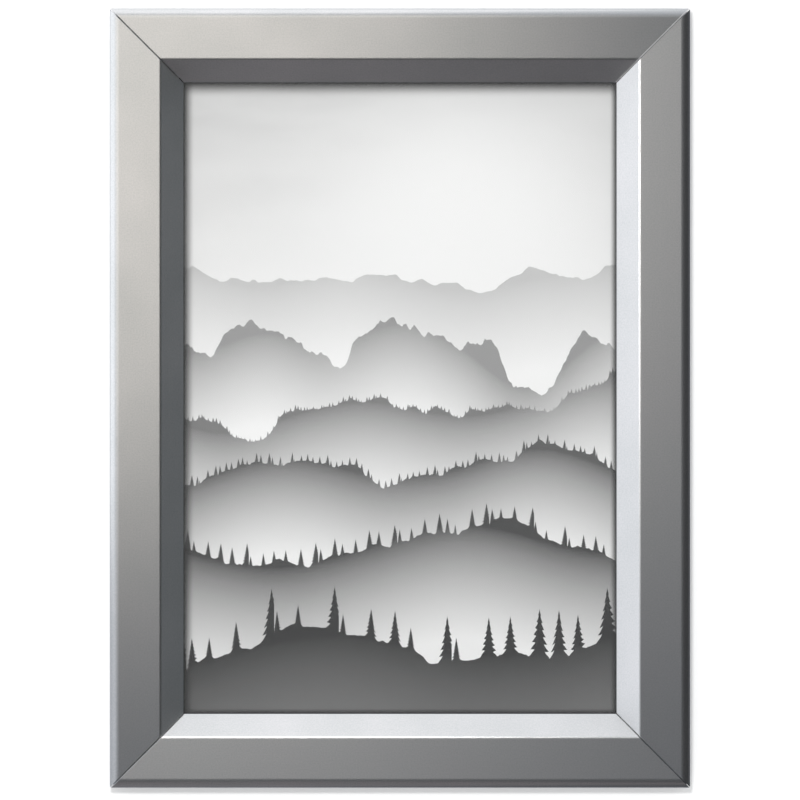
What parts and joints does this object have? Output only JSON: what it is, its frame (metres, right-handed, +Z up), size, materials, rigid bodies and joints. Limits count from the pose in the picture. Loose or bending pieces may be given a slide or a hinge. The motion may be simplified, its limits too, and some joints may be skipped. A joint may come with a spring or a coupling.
{
  "type": "poster frame",
  "caption": "Wall-mounted front-opening snap frame for a single sheet: mitred aluminium rails whose hinged covers lift to change the print",
  "frame": {"origin": "on the wall plane, at the centre of the four wall screw holes, which is the centre of the frame", "axes": "+X to the right seen from the front, +Y into the wall, +Z up; the front faces -Y"},
  "size_m": [0.254, 0.014, 0.341],
  "materials": {
    "anodised_aluminium": "satin silver anodised, fine grain along the rail",
    "mill_aluminium": "extruded, mill finish, lightly anodised",
    "spring_steel": "tempered spring steel, smooth",
    "zinc_steel": "punched plate, zinc plated",
    "screw_steel": "black oxide",
    "panel_styrene": "white polystyrene sheet, matt",
    "print_paper": "satin paper with a greyscale print",
    "clear_film": "clear rigid sheet with a fine anti-glare side"
  },
  "bodies": {
    "frame_base": {"back_panel": "panel_styrene", "print_sheet": "print_paper", "clear_sheet": "clear_film", "base_rail_top": "mill_aluminium", "base_rail_bottom": "mill_aluminium", "base_rail_left": "mill_aluminium", "base_rail_right": "mill_aluminium", "corner_key_top_left": "zinc_steel", "grub_screws_top_left": "screw_steel", "corner_key_top_right": "zinc_steel", "grub_screws_top_right": "screw_steel", "corner_key_bottom_left": "zinc_steel", "grub_screws_bottom_left": "screw_steel", "corner_key_bottom_right": "zinc_steel", "grub_screws_bottom_right": "screw_steel"},
    "cover_top": {"cover_rail_top": "anodised_aluminium"},
    "springs_top": {"snap_spring_top_1": "spring_steel", "snap_spring_top_2": "spring_steel"},
    "cover_bottom": {"cover_rail_bottom": "anodised_aluminium"},
    "springs_bottom": {"snap_spring_bottom_1": "spring_steel", "snap_spring_bottom_2": "spring_steel"},
    "cover_left": {"cover_rail_left": "anodised_aluminium"},
    "springs_left": {"snap_spring_left_1": "spring_steel", "snap_spring_left_2": "spring_steel"},
    "cover_right": {"cover_rail_right": "anodised_aluminium"},
    "springs_right": {"snap_spring_right_1": "spring_steel", "snap_spring_right_2": "spring_steel"}
  },
  "joints": [
    {"name": "cover_top_hinge", "type": "hinge", "parent": "frame_base", "child": "cover_top", "pos_m": [0, -0.0029, 0.16792], "axis": [-1, 0, 0], "range_deg": [0, 90], "deforming": ["snap_spring_top_1", "snap_spring_top_2"]},
    {"name": "springs_top_pivot", "type": "hinge", "parent": "frame_base", "child": "springs_top", "pos_m": [0, -0.01069, 0.16342], "axis": [-1, 0, 0], "range_deg": [-46.11, 0]},
    {"name": "cover_bottom_hinge", "type": "hinge", "parent": "frame_base", "child": "cover_bottom", "pos_m": [0, -0.0029, -0.16792], "axis": [1, 0, 0], "range_deg": [0, 90], "deforming": ["snap_spring_bottom_1", "snap_spring_bottom_2"]},
    {"name": "springs_bottom_pivot", "type": "hinge", "parent": "frame_base", "child": "springs_bottom", "pos_m": [0, -0.01069, -0.16342], "axis": [1, 0, 0], "range_deg": [-46.11, 0]},
    {"name": "cover_left_hinge", "type": "hinge", "parent": "frame_base", "child": "cover_left", "pos_m": [-0.12442, -0.0029, 0], "axis": [0, 0, -1], "range_deg": [0, 90], "deforming": ["snap_spring_left_1", "snap_spring_left_2"]},
    {"name": "springs_left_pivot", "type": "hinge", "parent": "frame_base", "child": "springs_left", "pos_m": [-0.11992, -0.01069, 0], "axis": [0, 0, -1], "range_deg": [-46.11, 0]},
    {"name": "cover_right_hinge", "type": "hinge", "parent": "frame_base", "child": "cover_right", "pos_m": [0.12442, -0.0029, 0], "axis": [0, 0, 1], "range_deg": [0, 90], "deforming": ["snap_spring_right_1", "snap_spring_right_2"]},
    {"name": "springs_right_pivot", "type": "hinge", "parent": "frame_base", "child": "springs_right", "pos_m": [0.11992, -0.01069, 0], "axis": [0, 0, 1], "range_deg": [-46.11, 0]}
  ],
  "couplings": [
    {"joint": "springs_top_pivot", "follows": "cover_top_hinge", "ratio": -0.51238},
    {"joint": "springs_bottom_pivot", "follows": "cover_bottom_hinge", "ratio": -0.51238},
    {"joint": "springs_left_pivot", "follows": "cover_left_hinge", "ratio": -0.51238},
    {"joint": "springs_right_pivot", "follows": "cover_right_hinge", "ratio": -0.51238}
  ]
}
